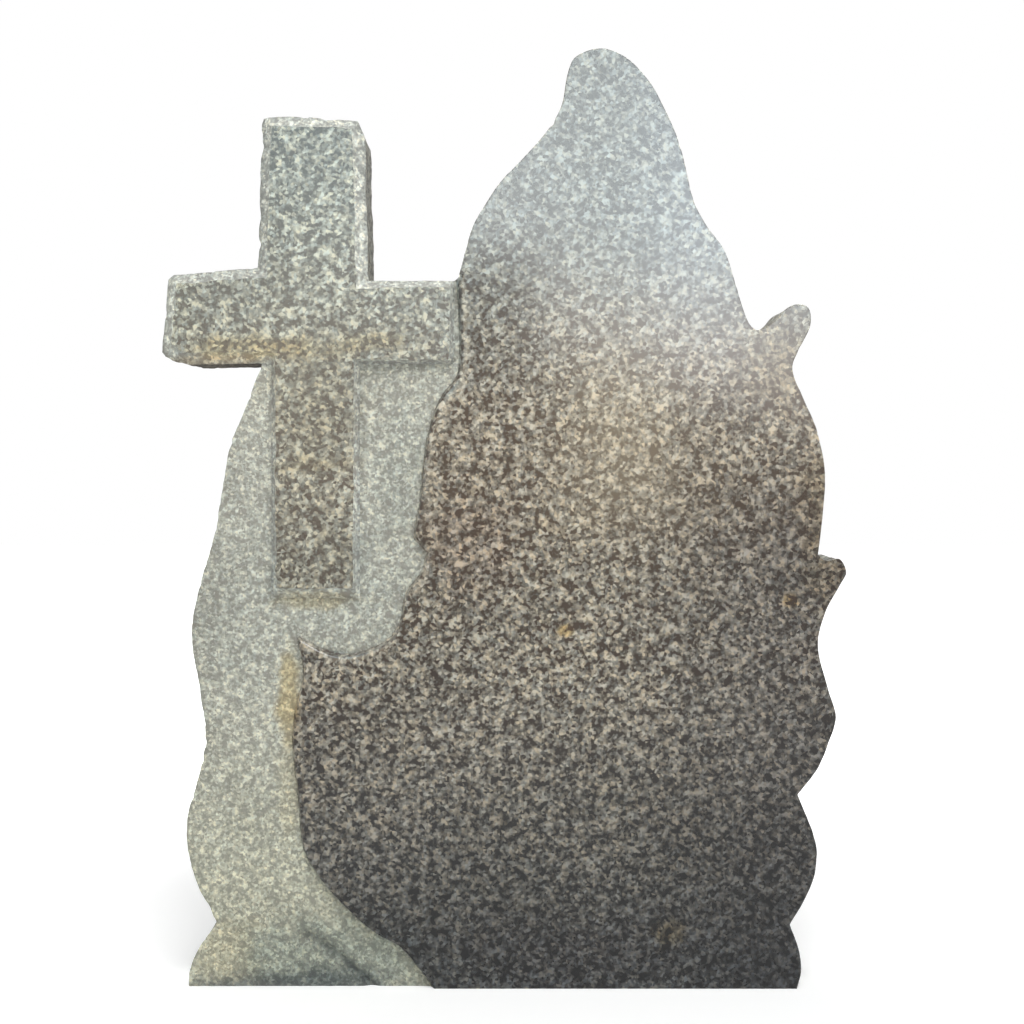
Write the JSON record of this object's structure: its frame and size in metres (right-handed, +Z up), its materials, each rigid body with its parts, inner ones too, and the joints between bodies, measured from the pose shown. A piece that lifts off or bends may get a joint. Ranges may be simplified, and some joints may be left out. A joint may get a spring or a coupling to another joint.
{
  "type": "granite stele headstone with a cross",
  "caption": "Upright granite headstone: a leaning, flame-shaped polished field beside a Latin cross, raised from needled ground, on a foot sawn flat.",
  "frame": {"origin": "middle of the foot, on the bed it stands on", "axes": "+Z up to the tip, the worked face looks along -Y, +Y towards the sawn back, +X to the side with the stubs"},
  "size_m": [0.804, 0.1, 1.1],
  "materials": {
    "granite": "grey speckled granite, polished faces with pitched edges and needled ground"
  },
  "bodies": {
    "root": {"stele": "granite"}
  },
  "joints": []
}
